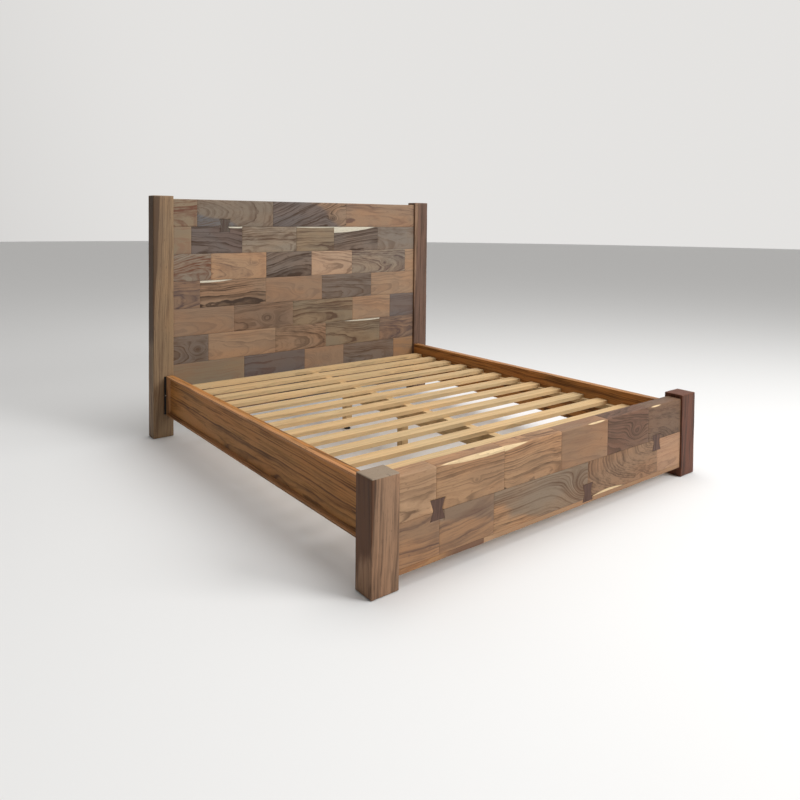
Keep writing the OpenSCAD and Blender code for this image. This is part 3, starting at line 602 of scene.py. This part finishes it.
HEAD_ROWS = (
    (Block("olive_tan", "red_brown", (0.12, 0.02), (0.05, 0.25), 21.1, ring=0.011),
     Block("blue_grey", "dark_brown", (0.10, 0.09), (0.30, 0.0), 22.3, ring=0.012, contrast=0.7,
           other=("olive_grey", -0.75, 3.0, 1.0)),
     Block("slate", "deep_brown", (0.12, -0.05), (0.06, 0.45), 23.7, ring=0.011,
           knot=(0.62, 0.06, 0.022), other=("tan_brown", 0.45, 1.5, 0.9)),
     Block("tan_brown", "dusk", (0.13, 0.04), (0.04, 0.04), 24.2, ring=0.012, contrast=0.9,
           drift=0.9, patches=0.2)),
    (Block("olive_tan", "mid_brown", (0.12, 0.02), (0.05, 0.12), 25.9, ring=0.014,
           contrast=1.3, patches=0.5),
     Block("slate", "deep_brown", (0.12, 0.01), (0.03, -0.06), 26.4, ring=0.010,
           contrast=1.2, rim=("bone", "top", 0.78, 0.60, 0.011, 0.004),
           other=("dusk", 0.2, 1.0, 0.5)),
     Block("taupe", "dark_brown", (0.10, 0.01), (0.10, 0.10), 27.8, ring=0.012,
           contrast=1.1),
     Block("olive_tan", "dark_brown", (0.10, 0.01), (0.02, 0.02), 28.1,
           rim=("bone", "top", 0.0, 1.6, 0.008, 0.004)),
     Block("grey_brown", "deep_brown", (0.09, 0.0), (0.01, 0.14), 29.5, waver=0.012,
           patches=0.4, rim=("bone", "top", -1.05, 1.95, 0.042, 0.010)),
     Block("ash_brown", "dark_brown", (0.11, 0.05), (0.10, 0.05), 30.2, contrast=0.8,
           patches=0.2)),
    (Block("taupe", "red_brown", (0.10, 0.0), (0.10, 0.35), 31.6, ring=0.013,
           contrast=1.0),
     Block("honey", "dusk", (0.08, 0.05), (0.12, 0.04), 32.8, ring=0.012, contrast=0.6,
           patches=0.2, knot=(0.55, 0.10, 0.022)),
     Block("grey_brown", "deep_brown", (0.12, -0.02), (0.06, 0.35), 33.3, ring=0.012,
           contrast=0.9, patches=0.4),
     Block("pale_tan", "mid_brown", (0.13, 0.05), (0.04, -0.06), 34.9, ring=0.012,
           patches=0.15, drift=0.5),
     Block("taupe", "purple_brown", (0.08, 0.05), (0.12, 0.05), 35.1, ring=0.012,
           knot=(0.2, 0.07, 0.018)),
     Block("tan", "mid_brown", (0.10, 0.05), (0.05, 0.05), 36.7, patches=0.2)),
    (Block("mid_brown", "purple_brown", (0.12, 0.05), (0.05, 0.08), 37.4, contrast=1.2,
           patches=0.4),
     Block("tan_brown", "deep_brown", (0.09, 0.01), (0.02, 0.03), 38.2, contrast=0.9,
           rim=("bone", "top", -0.85, 0.85, 0.014, 0.008)),
     Block("tan_brown", "mid_brown", (0.11, 0.05), (0.10, 0.05), 39.8, knot=(0.2, 0.08, 0.03)),
     Block("grey_brown", "dark_brown", (0.10, 0.04), (0.06, 0.04), 40.6),
     Block("tan", "mid_brown", (0.12, 0.05), (0.05, 0.06), 41.3)),
    (Block("tan_brown", "mid_brown", (0.10, 0.05), (0.08, 0.05), 42.5),
     Block("mid_brown", "dark_brown", (0.12, 0.05), (0.05, 0.08), 43.2,
           knot=(0.1, 0.07, 0.03)),
     Block("olive_tan", "dark_brown", (0.11, 0.03), (0.06, 0.05), 44.9),
     Block("tan", "mid_brown", (0.13, 0.05), (0.04, 0.06), 45.7, patches=0.2),
     Block("slate", "purple_brown", (0.12, 0.05), (0.06, 0.10), 46.4)),
    (Block("grey_brown", "dark_brown", (0.08, 0.06), (0.12, 0.04), 47.1,
           knot=(0.3, 0.08, 0.035)),
     Block("tan", "mid_brown", (0.12, 0.05), (0.05, 0.06), 48.3, patches=0.2),
     Block("tan_brown", "dark_brown", (0.10, 0.05), (0.10, 0.05), 49.6),
     Block("olive_tan", "dark_brown", (0.11, 0.03), (0.02, 0.03), 50.2,
           rim=("bone", "top", 0.5, 0.9, 0.012, 0.006)),
     Block("mid_brown", "purple_brown", (0.12, 0.05), (0.05, 0.08), 51.8, patches=0.4)),
    (Block("olive_tan", "mid_brown", (0.11, 0.03), (0.06, 0.05), 52.7),
     Block("slate", "purple_brown", (0.12, 0.05), (0.06, 0.10), 53.4),
     Block("tan_brown", "mid_brown", (0.06, 0.08), (0.15, 0.05), 54.9, knot=(0.0, 0.09, 0.04)),
     Block("grey_brown", "dark_brown", (0.10, 0.04), (0.06, 0.04), 55.5),
     Block("ochre", "mid_brown", (0.10, 0.05), (0.05, 0.05), 56.3)),
    (Block("tan_brown", "dark_brown", (0.12, 0.16), (0.05, 0.05), 57.1),
     Block("tan", "mid_brown", (0.10, 0.05), (0.08, 0.05), 58.6),
     Block("grey_brown", "purple_brown", (0.10, 0.04), (0.06, 0.04), 59.2,
           knot=(-0.3, 0.08, 0.03)),
     Block("tan", "mid_brown", (0.12, 0.16), (0.05, 0.04), 60.9,
           rim=("bone", "bottom", 0.0, 0.8, 0.014, 0.010)),
     Block("mid_brown", "dark_brown", (0.12, 0.05), (0.05, 0.08), 61.4, patches=0.4)),
)
# How the oil has coloured each panel's wood.
# A tint over each panel's wood: darker and cooler on the headboard, warmer on the footboard.
HEAD_TINT, FOOT_TINT = (0.87, 0.90, 0.95), (1.01, 0.93, 0.83)
# Where the blocks of one row meet, as shares of the way between the posts.
FOOT_EDGE_SEAMS = (0.232, 0.596)
HEAD_SEAMS = (
    (0.081, 0.359, 0.668),
    (0.061, 0.241, 0.453, 0.614, 0.817),
    (0.129, 0.333, 0.517, 0.696, 0.955),
    (0.091, 0.331, 0.562, 0.787),
    (0.212, 0.440, 0.700, 0.880),
    (0.120, 0.370, 0.580, 0.830),
    (0.250, 0.490, 0.660, 0.900),
    (0.150, 0.380, 0.640, 0.860),
)
GLUE_LINE = 0.0002


def tinted(name, panel_tint):
    """A tone with the panel's tint over it."""
    return tuple(c * o for c, o in zip(TONES[name], panel_tint))


def cut_of(low, high, b, panel_tint):
    """The Cut of one block that fills the box from low to high."""
    middle, half = (low[0] + high[0]) / 2, (high[0] - low[0]) / 2
    behind, above = b.heart
    knot, shift, brink, band = NONE, NONE, NONE, NO_BAND
    if b.knot:
        share, height, size = b.knot
        knot = (share * half, height - above, size)
    other = b.light
    if b.other:
        other, place, slope, strength = b.other
        shift = (place * half + slope * ((high[2] - low[2]) / 2 - above), slope, strength)
    rim = "cream"
    if b.rim:
        rim, where, place, length, height, ragged = b.rim
        brink = (-behind, (high[2] - low[2] if where == "top" else 0.0) - above, ragged)
        band = (place * half, length * half, height)
    return Cut(tinted(b.light, panel_tint), tinted(b.dark, panel_tint), tinted(other, panel_tint),
               tinted(rim, panel_tint),
               (middle, low[1] + behind, low[2] + above), (*b.lean, b.waver),
               (b.ring, b.contrast, b.seed),
               (b.patches, b.drift, 0.0), knot, shift, brink, band)


def add_block(mesh, low, high, b, radii, panel_tint):
    """One block of a panel, with its cut kept on its faces."""
    faces = loft(mesh, low, high, radii, b.seed, (sizes().edge, sizes().edge))
    keep_cut(mesh, faces, cut_of(low, high, b, panel_tint))


def add_row(name, node, seams, blocks, ends, bottom, top, panel_tint):
    """One piece of blocks laid end to end between the posts, which stands for a CAD node."""
    low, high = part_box(node)
    left, right = ends
    places = [left] + [left + (right - left) * share for share in seams] + [right]
    mesh = new_mesh()
    for x0, x1, b in zip(places, places[1:], blocks):
        add_block(mesh, Vector((x0 + GLUE_LINE / 2, low.y, low.z)),
                  Vector((x1 - GLUE_LINE / 2, high.y, high.z)), b, [bottom, top, top, bottom],
                  panel_tint)
    return make_piece(name, mesh, block_hardwood(), node)


def between_posts(left, right):
    """The two faces that a panel runs between."""
    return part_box(left)[1].x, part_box(right)[0].x


# How far a cutter stands out of the piece that it cuts.
CUTTER_OUT = 0.02
WAIST_SHARE = 0.6


def as_cutter(mesh):
    """A helper object that carve() cuts with, removed after the cut."""
    bmesh.ops.recalc_face_normals(mesh, faces=mesh.faces[:])
    return add_object("cutter", mesh)


def box_cutter(low, high):
    mesh = bmesh.new()
    bmesh.ops.create_cube(mesh, size=1.0)
    for vert in mesh.verts:
        vert.co = [h if c > 0 else l for c, l, h in zip(vert.co, low, high)]
    return as_cutter(mesh)


def bow_tie_cutter(node, gap):
    """A bow-tie a little larger than a key, to cut the key's pocket."""
    low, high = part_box(node)
    middle = (low + high) / 2
    half_end, half_up = (high.x - low.x) / 2 + gap, (high.z - low.z) / 2 + gap
    half_waist = half_end * WAIST_SHARE
    outline = [(-half_end, half_up), (half_end, half_up), (half_waist, 0),
               (half_end, -half_up), (-half_end, -half_up), (-half_waist, 0)]
    mesh = bmesh.new()
    rings = [[mesh.verts.new((middle.x + x, y, middle.z + z)) for x, z in outline]
             for y in (low.y - CUTTER_OUT, high.y + gap)]
    mesh.faces.new(rings[0])
    mesh.faces.new(rings[1])
    for i in range(len(outline)):
        j = (i + 1) % len(outline)
        mesh.faces.new((rings[0][i], rings[0][j], rings[1][j], rings[1][i]))
    return as_cutter(mesh)


def cut_pockets(pieces, keys):
    """Cuts the keys' pockets into the blocks that they hold together."""
    for key in keys:
        low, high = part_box(key)
        cutter = bow_tie_cutter(key, sizes().key_gap)
        for piece in pieces:
            xs = [v.co.x for v in piece.data.vertices]
            zs = [v.co.z for v in piece.data.vertices]
            if (min(xs) < high.x and max(xs) > low.x and min(zs) < high.z
                    and max(zs) > low.z):
                carve(piece, cutter)
        bpy.data.objects.remove(cutter)


def block_hardwood():
    """The one wood that all the blocks share."""
    return bpy.data.materials.get("block_hardwood") or wood("block_hardwood")


# ---------------------------------------------------------------- finishes of CAD nodes

EASED_SEGMENTS, EASED_ANGLE = 2, math.radians(35)


def give(node, material, edge=0.0):
    """Gives a CAD node its material, and eases its edges with a modifier."""
    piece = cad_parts[node]
    if not piece.material_slots:
        piece.data.materials.append(material)
    for place in piece.material_slots:
        place.link = "OBJECT"
        place.material = material
    if edge:
        bevel = piece.modifiers.new("eased edges", "BEVEL")
        bevel.width, bevel.segments = edge, EASED_SEGMENTS
        bevel.limit_method, bevel.angle_limit = "ANGLE", EASED_ANGLE
        bevel.harden_normals = False


def cut_from(node, light, dark, heart, lean, look, patches=0.3, drift=0.6, other=None,
             shift=NONE):
    """The Cut of one CAD node, with its heart given from the node's middle. lean holds the
    slope across and up and how far the rings waver, look the ring width, contrast and
    seed."""
    low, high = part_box(node)
    middle = (low + high) / 2
    return Cut(light, dark, other or light, light,
               tuple(m + h for m, h in zip(middle, heart)), lean,
               look, (patches, drift, 0.0), NONE, shift, NONE, NO_BAND)


# ---------------------------------------------------------------- operators

class BED_OT_headboard(bpy.types.Operator):
    """Makes the eight rows of headboard blocks"""
    bl_idname = "bed.headboard"
    bl_label = "Headboard blocks"

    def execute(self, context):
        size = sizes()
        ends = between_posts("head_post_left", "head_post_right")
        pieces = []
        for number, (seams, blocks) in enumerate(zip(HEAD_SEAMS, HEAD_ROWS), 1):
            top = size.outer_edge if number == 1 else size.edge
            bottom = size.outer_edge if number == len(HEAD_SEAMS) else size.edge
            pieces.append(add_row(f"headboard_row_{number}_blocks", f"headboard_row_{number}",
                                  seams, blocks, ends, bottom, top, HEAD_TINT))
        cut_pockets(pieces[:2], ["headboard_bow_tie"])
        return {"FINISHED"}


# How the natural edge swells, its least share, how much it varies and how fast, and how
# far it runs into the block after the first.
LIVE_SWELL, LIVE_LEAST, LIVE_VARIES, LIVE_RATE = 0.7, 0.7, 0.6, 13.0
LIVE_RUN = 0.15


def natural_edge(start, reach):
    """The radius of a natural edge that begins at start and lasts for reach."""
    size = sizes()

    def radius(place):
        share = min(1.0, max(0.0, (place - start) / reach))
        swell = math.sin(math.pi * share) ** LIVE_SWELL
        wave = LIVE_LEAST + LIVE_VARIES * drift_at(place * LIVE_RATE, 4.0, 2.0)
        return size.outer_edge + (size.live_edge - size.outer_edge) * swell * wave
    return radius


class BED_OT_footboard(bpy.types.Operator):
    """Makes the rows of footboard blocks, the top one with a natural edge"""
    bl_idname = "bed.footboard"
    bl_label = "Footboard blocks"

    def execute(self, context):
        size = sizes()
        left, right = between_posts("foot_post_left", "foot_post_right")
        first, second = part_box("footboard_top_block_2"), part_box("footboard_top_block_3")
        span = (first[0].x, second[0].x - first[0].x + LIVE_RUN)
        natural = {"footboard_top_block_2": span, "footboard_top_block_3": span}
        pieces = []
        for level, rows in (("top", FOOT_TOP), ("bottom", FOOT_BOTTOM)):
            for number, row in enumerate(rows, 1):
                node = f"footboard_{level}_block_{number}"
                low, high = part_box(node)
                low.x, high.x = max(low.x, left), min(high.x, right)
                outer, inner = size.outer_edge, size.edge
                radii = [inner, outer, outer, inner] if level == "top" else [inner] * 4
                if node in natural:
                    radii[1] = natural_edge(*natural[node])
                mesh = new_mesh()
                add_block(mesh, low, high, row, radii, FOOT_TINT)
                pieces.append(make_piece(f"{node}_timber", mesh, block_hardwood(), node))
        pieces.append(add_row("footboard_edge_row_blocks", "footboard_edge_row",
                              FOOT_EDGE_SEAMS, FOOT_EDGE, (left, right), size.outer_edge,
                              size.edge, FOOT_TINT))
        cut_pockets(pieces, [f"footboard_bow_tie_{i}" for i in (1, 2, 3)])
        return {"FINISHED"}


KEY_EDGE, SLAT_EDGE, PAD_EDGE = 0.0012, 0.002, 0.0008


class BED_OT_keys(bpy.types.Operator):
    """Finishes the dark bow-tie keys"""
    bl_idname = "bed.keys"
    bl_label = "Bow-tie keys"

    def execute(self, context):
        look = finish()
        for number, node in enumerate(("headboard_bow_tie", "footboard_bow_tie_1",
                                       "footboard_bow_tie_2", "footboard_bow_tie_3")):
            light = look.head_key if number == 0 else look.keys
            cut = cut_from(node, light[:], look.keys_dark[:], heart=(0.06, 0.05, 0.0),
                           lean=(0.05, 0.03, 0.006), look=(0.005, 0.9, 70.0 + number),
                           patches=0.2, drift=0.3)
            give(node, wood(f"key_hardwood_{number}", cut, "Z"), KEY_EDGE)
        return {"FINISHED"}


# For each post its slot, tones, the heart from its middle, the heart's slopes and waver,
# the ring width, contrast and seed, the strength of dark patches and of hue drift, the tone
# laid over its left face, painted shade on the left posts, and the tone of the end grain on top.
POST_CUTS = {
    "foot_post_left": ("foot_post_brown", "warm_brown", "deep_brown", (0.17, 0.10, 0.0),
                       (0.03, 0.02, 0.008), (0.012, 0.65, 81.0), 0.25, 0.4, "umber",
                       "taupe"),
    "foot_post_right": ("foot_post_red_brown", "russet", "umber_black", (0.12, 0.14, 0.0),
                        (0.04, 0.02, 0.016), (0.008, 1.15, 82.0), 0.45, 0.2, "russet",
                        "russet"),
    "head_post_left": ("head_post_grey_brown", "fawn", "dark_brown", (0.20, 0.06, 0.0),
                       (0.01, 0.02, 0.016), (0.010, 0.7, 83.0), 0.12, 0.5, "walnut",
                       "fawn"),
    "head_post_right": ("head_post_dark", "dusk", "deep_brown", (0.16, 0.10, 0.0),
                        (0.01, 0.01, 0.012), (0.009, 1.1, 84.0), 0.30, 0.4, "mid_brown",
                        "dusk"),
}
# The depth, the border's slope and the strength of the left face's tone, painted shade on
# the left posts, then the depth of the end grain's tone and a reach that covers the whole end.
PAINTED_SHADE_DEPTH, PAINTED_SHADE_SLOPE, PAINTED_SHADE_SHARE = 0.006, -20.0, 0.9
END_DEPTH, END_REACH = 0.004, 1.0
POST_END_RADII = (0.003, 0.004)
PLATE_WIDTH, PLATE_CLEARANCE = 0.058, 0.0004


class BED_OT_posts(bpy.types.Operator):
    """Makes the four posts, with the recesses for the rail plates"""
    bl_idname = "bed.posts"
    bl_label = "Posts"

    def execute(self, context):
        plate_low, plate_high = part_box("post_plates")
        edge = sizes().post_edge
        for node, (slot, light, dark, heart, lean, look, patches, drift,
                   face, end) in POST_CUTS.items():
            low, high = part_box(node)
            # The left face takes its own tone over a thin band; on the left posts that darker
            # tone is painted shade for the side turned away from the light.
            border = low.x + PAINTED_SHADE_DEPTH - (low.x + high.x) / 2 - heart[0]
            shift = (PAINTED_SHADE_SLOPE * border, PAINTED_SHADE_SLOPE, PAINTED_SHADE_SHARE)
            cut = cut_from(node, TONES[light], TONES[dark], heart, lean, look, patches, drift,
                           TONES[face], shift)
            cut = cut._replace(rim=TONES[end],
                               band=(high.z - cut.heart[2], END_DEPTH, END_REACH))
            mesh = new_mesh()
            loft(mesh, low, high, [edge] * 4, look[2], POST_END_RADII, "Z")
            post = make_piece(f"{node}_timber", mesh, wood(f"{node}_hardwood", cut, "Z"),
                              node)
            on_left, at_foot = "left" in node, "foot" in node
            side = plate_low.x if on_left else plate_high.x - PLATE_WIDTH
            deep, out = ((plate_low.y, high.y + CUTTER_OUT) if at_foot
                         else (low.y - CUTTER_OUT, plate_high.y))
            gap = PLATE_CLEARANCE
            # The recess bares a strip of the black post plate beside the rail. That dark band is
            # partly painted shade: the plate is real, and its black stands in for the shaded gap
            # where rail meets post.
            cutter = box_cutter((side - gap, deep, plate_low.z - gap),
                                (side + PLATE_WIDTH + gap, out, plate_high.z + gap))
            carve(post, cutter)
            bpy.data.objects.remove(cutter)
        return {"FINISHED"}


RAIL_HEART, MOULDING_LEAN = (0.10, 0.0, -0.10), (0.01, 0.01, 0.008)


class BED_OT_rails(bpy.types.Operator):
    """Finishes the side rails and their mouldings"""
    bl_idname = "bed.rails"
    bl_label = "Side rails"

    def execute(self, context):
        look, edge = finish(), sizes().rail_edge
        for number, side in enumerate(("left", "right")):
            board = cut_from(f"side_rail_{side}", look.rail[:], look.rail_dark[:],
                             heart=RAIL_HEART, lean=(0.01, 0.02, 0.012),
                             look=(0.009, 1.0, 90.0 + number))
            give(f"side_rail_{side}", wood(f"rail_board_{side}", board, "Y"),
                 edge)
            tones = look.moulding[:], look.rail_dark[:]
            lying = cut_from(f"rail_lower_moulding_{side}", *tones, heart=RAIL_HEART,
                             lean=MOULDING_LEAN, look=(0.007, 0.8, 92.0 + number))
            finish_wood = wood(f"rail_moulding_{side}", lying, "Y")
            for part in ("lower_moulding", "upper_moulding"):
                give(f"rail_{part}_{side}", finish_wood, edge)
            upright = cut_from(f"rail_end_mouldings_{side}", *tones, heart=RAIL_HEART,
                               lean=MOULDING_LEAN, look=(0.007, 0.8, 94.0 + number))
            give(f"rail_end_mouldings_{side}", wood(f"rail_end_moulding_{side}", upright, "Z"),
                 edge)
        return {"FINISHED"}


RAW_ROUGHNESS, SOFTWOOD_LATE, BEECH_LATE = 0.66, 0.62, 0.7
BEECH = tone("c8a67c")


class BED_OT_slats(bpy.types.Operator):
    """Finishes the slats, cleats, centre beam and legs"""
    bl_idname = "bed.slats"
    bl_label = "Slats and beam"

    def execute(self, context):
        pale = finish().softwood[:]
        darker = tuple(c * SOFTWOOD_LATE for c in pale)
        lengthwise = {"slats": "X", "slat_cleat_left": "Y", "slat_cleat_right": "Y",
                      "centre_beam": "Y", "centre_leg_1": "Z", "centre_leg_2": "Z",
                      "centre_leg_3": "Z"}
        for number, (node, grain) in enumerate(lengthwise.items()):
            cut = cut_from(node, pale, darker, heart=(0.0, 0.0, -0.09),
                           lean=(0.01, 0.01, 0.012), look=(0.005, 0.7, 100.0 + number),
                           patches=0.15, drift=0.5)
            give(node, wood(f"{node}_softwood", cut, grain, RAW_ROUGHNESS),
                 SLAT_EDGE)
        for node in ("row_splines", "panel_dowels"):
            cut = cut_from(node, BEECH, tuple(c * BEECH_LATE for c in BEECH),
                           heart=(0.0, 0.1, 0.0), lean=(0.0, 0.0, 0.006),
                           look=(0.004, 0.4, 110.0), patches=0.15, drift=0.5)
            give(node, wood(f"{node}_beech", cut, "X", RAW_ROUGHNESS))
        return {"FINISHED"}


class BED_OT_hardware(bpy.types.Operator):
    """Finishes the steel, brass and nylon fittings"""
    bl_idname = "bed.hardware"
    bl_label = "Fittings"

    def execute(self, context):
        # The black coat is real on the hooks and hangers; on the post plates it is partly
        # painted shade, darkening the band of shaded gap beside each rail.
        black = plain("black_powder_coat_and_gap_shade", tone("1d1a18"), roughness=0.55, speckle=1400.0)
        zinc = plain("zinc_plate", (0.55, 0.56, 0.57), roughness=0.35, metallic=1.0)
        yellow = plain("yellow_zinc_plate", (0.60, 0.47, 0.22), roughness=0.35, metallic=1.0)
        brass = plain("plain_brass", (0.66, 0.48, 0.20), roughness=0.35, metallic=1.0)
        nylon = plain("black_nylon", tone("201f20"), roughness=0.5, speckle=1800.0)
        fittings = {
            black: ("black_steel", ["rail_hook_plates", "post_plates", "beam_hangers"]),
            zinc: ("zinc_steel", ["connector_screws", "beam_hanger_screws",
                                  "centre_leg_bolts"]),
            yellow: ("yellow_zinc_steel", ["wood_screws"]),
            brass: ("insert_brass", ["leveller_inserts"]),
            nylon: ("black_nylon", ["post_glides"]),
        }
        for material, (slot, nodes) in fittings.items():
            for node in nodes:
                give(node, material)
        for number in (1, 2, 3):
            give(f"leveller_pad_{number}", nylon, PAD_EDGE)
            give(f"leveller_stem_{number}", zinc)
        return {"FINISHED"}


CAMERA_PLACE = Vector((-2.5254, -3.0168, 1.3428))
CAMERA_YAW, CAMERA_DIP, CAMERA_ROLL = (math.radians(turn) for turn in (36.107, 1.778, 0.467))
SENSOR, LENS, SHIFT = 36.0, 30.754, (0.0505, -0.1976)
CLIP_END = 200.0
FLOOR_RADIUS, FLOOR_SPANS = 40.0, 96
FLOOR_ROUGHNESS, FLOOR_VARIES, FLOOR_SPOTS = 0.75, 0.1, 2.0
# The side of the room that the sky light comes from, its tone, and its strength away from
# that side and toward it.
SKY_SIDE, SKY_TONE = (0.88, 0.30, 0.30), (1.0, 0.985, 0.965, 1.0)
SKY_RANGE, SKY_STRENGTHS = (-0.5, 0.7), (0.10, 0.78)
# Each lamp's name, place, target, width and power.
LAMPS = (("key", (3.4, -6.0, 4.4), (0.0, -0.4, 0.4), 3.0, 370.0),
         ("top", (0.5, -0.5, 5.5), (0.0, 0.0, 0.0), 4.0, 150.0))


class BED_OT_stage(bpy.types.Operator):
    """Makes the floor, the lights and the camera"""
    bl_idname = "bed.stage"
    bl_label = "Floor, lights and camera"

    def execute(self, context):
        scene = context.scene
        mesh = bmesh.new()
        bmesh.ops.create_circle(mesh, cap_ends=True, segments=FLOOR_SPANS,
                                 radius=FLOOR_RADIUS)
        floor = add_object("floor", mesh)
        s = Shade(bpy.data.materials.new("pale_floor"))
        spots = s.cloud(s.place(), FLOOR_SPOTS)
        floor.data.materials.append(
            s.surface(finish().floor[:], FLOOR_ROUGHNESS + (spots - 0.5) * FLOOR_VARIES))

        s = Shade(bpy.data.worlds.new("studio"))
        toward = s.node("ShaderNodeVectorMath", {"operation": "DOT_PRODUCT"},
                        {0: s.node("ShaderNodeTexCoord", out="Generated"), 1: SKY_SIDE},
                        "Value")
        strength = s.node("ShaderNodeMapRange", {"interpolation_type": "SMOOTHSTEP"},
                          {"Value": toward, "From Min": SKY_RANGE[0],
                           "From Max": SKY_RANGE[1], "To Min": SKY_STRENGTHS[0],
                           "To Max": SKY_STRENGTHS[1]})
        sky = s.node("ShaderNodeBackground", None, {"Color": SKY_TONE, "Strength": strength})
        s.node("ShaderNodeOutputWorld", None, {"Surface": sky})
        scene.world = s.owner
        for lamp in LAMPS:
            self.light(*lamp)

        heading = Vector((math.sin(CAMERA_YAW) * math.cos(CAMERA_DIP),
                          math.cos(CAMERA_YAW) * math.cos(CAMERA_DIP), -math.sin(CAMERA_DIP)))
        level = Vector((math.cos(CAMERA_YAW), -math.sin(CAMERA_YAW), 0.0))
        upward = level.cross(heading)
        c, n = math.cos(CAMERA_ROLL), math.sin(CAMERA_ROLL)
        axes = Matrix((c * level + n * upward, c * upward - n * level, -heading)).transposed()
        lens = bpy.data.cameras.new("camera")
        lens.sensor_width, lens.lens = SENSOR, LENS
        lens.shift_x, lens.shift_y = SHIFT
        lens.clip_end = CLIP_END
        camera = bpy.data.objects.new("camera", lens)
        camera.matrix_world = Matrix.Translation(CAMERA_PLACE) @ axes.to_4x4()
        scene.collection.objects.link(camera)
        scene.camera = camera
        scene.view_settings.view_transform = "Standard"
        return {"FINISHED"}

    @staticmethod
    def light(name, place, target, width, power):
        lamp = bpy.data.lights.new(name, "AREA")
        lamp.size, lamp.energy = width, power
        holder = bpy.data.objects.new(name, lamp)
        holder.location = place
        aim = Vector(target) - Vector(place)
        holder.rotation_euler = aim.to_track_quat("-Z", "Y").to_euler()
        bpy.context.scene.collection.objects.link(holder)


class BED_PT_panel(bpy.types.Panel):
    """Lists the bed's sizes, finishes and makers"""
    bl_label = "Block-built bed frame"
    bl_space_type = "VIEW_3D"
    bl_region_type = "UI"
    bl_category = "Bed"

    def draw(self, context):
        for group in (context.scene.bed_sizes, context.scene.bed_finish):
            for name in group.__annotations__:
                self.layout.prop(group, name)
        for maker in MAKERS:
            self.layout.operator(maker.bl_idname)


MAKERS = (BED_OT_stage, BED_OT_headboard, BED_OT_footboard, BED_OT_keys, BED_OT_posts,
          BED_OT_rails, BED_OT_slats, BED_OT_hardware)
CLASSES = (BedSizes, BedFinish) + MAKERS + (BED_PT_panel,)


def register():
    for kind in CLASSES:
        bpy.utils.register_class(kind)
    bpy.types.Scene.bed_sizes = bpy.props.PointerProperty(type=BedSizes)
    bpy.types.Scene.bed_finish = bpy.props.PointerProperty(type=BedFinish)


def unregister():
    del bpy.types.Scene.bed_finish
    del bpy.types.Scene.bed_sizes
    for kind in reversed(CLASSES):
        bpy.utils.unregister_class(kind)


def main():
    register()
    bpy.ops.bed.stage()
    bpy.ops.bed.headboard()
    bpy.ops.bed.footboard()
    bpy.ops.bed.keys()
    bpy.ops.bed.posts()
    bpy.ops.bed.rails()
    bpy.ops.bed.slats()
    bpy.ops.bed.hardware()


if __name__ == "__main__":
    main()
